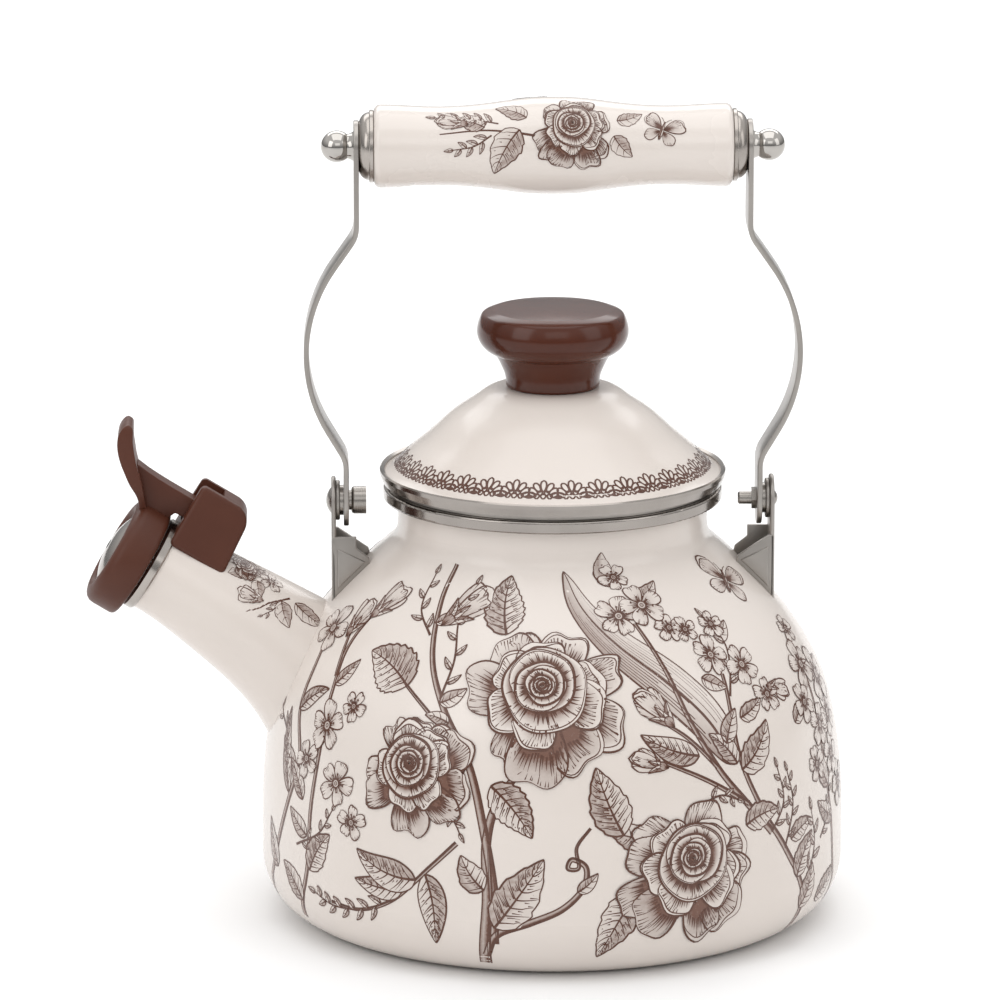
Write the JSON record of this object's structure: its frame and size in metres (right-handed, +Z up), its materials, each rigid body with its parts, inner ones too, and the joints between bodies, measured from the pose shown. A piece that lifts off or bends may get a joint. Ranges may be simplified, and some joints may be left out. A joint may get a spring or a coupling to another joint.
{
  "type": "stovetop whistling kettle",
  "caption": "Round enamelled kettle with a slanted spout, hinged whistle cap, lift-off lid with a knob and a swinging bail handle.",
  "frame": {"origin": "centre of the flat base, on the surface that the kettle stands on", "axes": "+Z up; the spout points to -X; the bail swings about an axis along X"},
  "size_m": [0.2209, 0.17, 0.241],
  "materials": {
    "enamel_cream": "glossy fired enamel with a brown floral decal",
    "steel_bright": "polished",
    "steel_satin": "satin",
    "plastic_brown": "satin moulded",
    "phenolic_brown": "polished moulding",
    "grip_cream": "glossy with a printed floral decal",
    "brass_plain": "turned"
  },
  "bodies": {
    "pot": {"body_shell": "enamel_cream", "base_pan": "enamel_cream", "mouth_ring": "steel_bright", "spout_tube": "enamel_cream", "spout_ring": "steel_bright", "ear_left": "steel_satin", "ear_right": "steel_satin", "pivot_screw_left": "steel_satin", "pivot_screw_right": "steel_satin", "pivot_washer_left": "steel_satin", "pivot_washer_right": "steel_satin", "barrel_nut_left": "steel_satin", "lock_nut_right": "steel_satin", "block_bracket": "steel_satin", "block_screw": "steel_satin", "whistle_block": "plastic_brown", "hinge_pin": "steel_satin"},
    "whistle_cap": {"whistle_cap": "plastic_brown", "whistle_outer_disc": "steel_bright", "whistle_inner_disc": "steel_bright"},
    "lid": {"lid_shell": "enamel_cream", "lid_rim_ring": "steel_bright", "lid_skirt": "steel_satin", "lid_knob": "phenolic_brown", "knob_insert": "brass_plain", "knob_washer": "steel_satin", "knob_screw": "steel_satin"},
    "bail": {"bail_strap_left": "steel_satin", "bail_strap_right": "steel_satin", "grip": "grip_cream", "grip_rod": "steel_satin", "ferrule_left": "steel_satin", "ferrule_right": "steel_satin", "ball_nut_left": "steel_bright", "ball_nut_right": "steel_bright"}
  },
  "joints": [
    {"name": "bail_swing", "type": "hinge", "parent": "pot", "child": "bail", "pos_m": [0, 0, 0.1225], "axis": [1, 0, 0], "range_deg": [-100, 100]},
    {"name": "cap_hinge", "type": "hinge", "parent": "pot", "child": "whistle_cap", "pos_m": [-0.10315, 0, 0.11928], "axis": [0, 1, 0], "range_deg": [0, 85]},
    {"name": "lid_lift", "type": "slide", "parent": "pot", "child": "lid", "axis": [0, 0, 1], "range_m": [0, 0.03]}
  ]
}
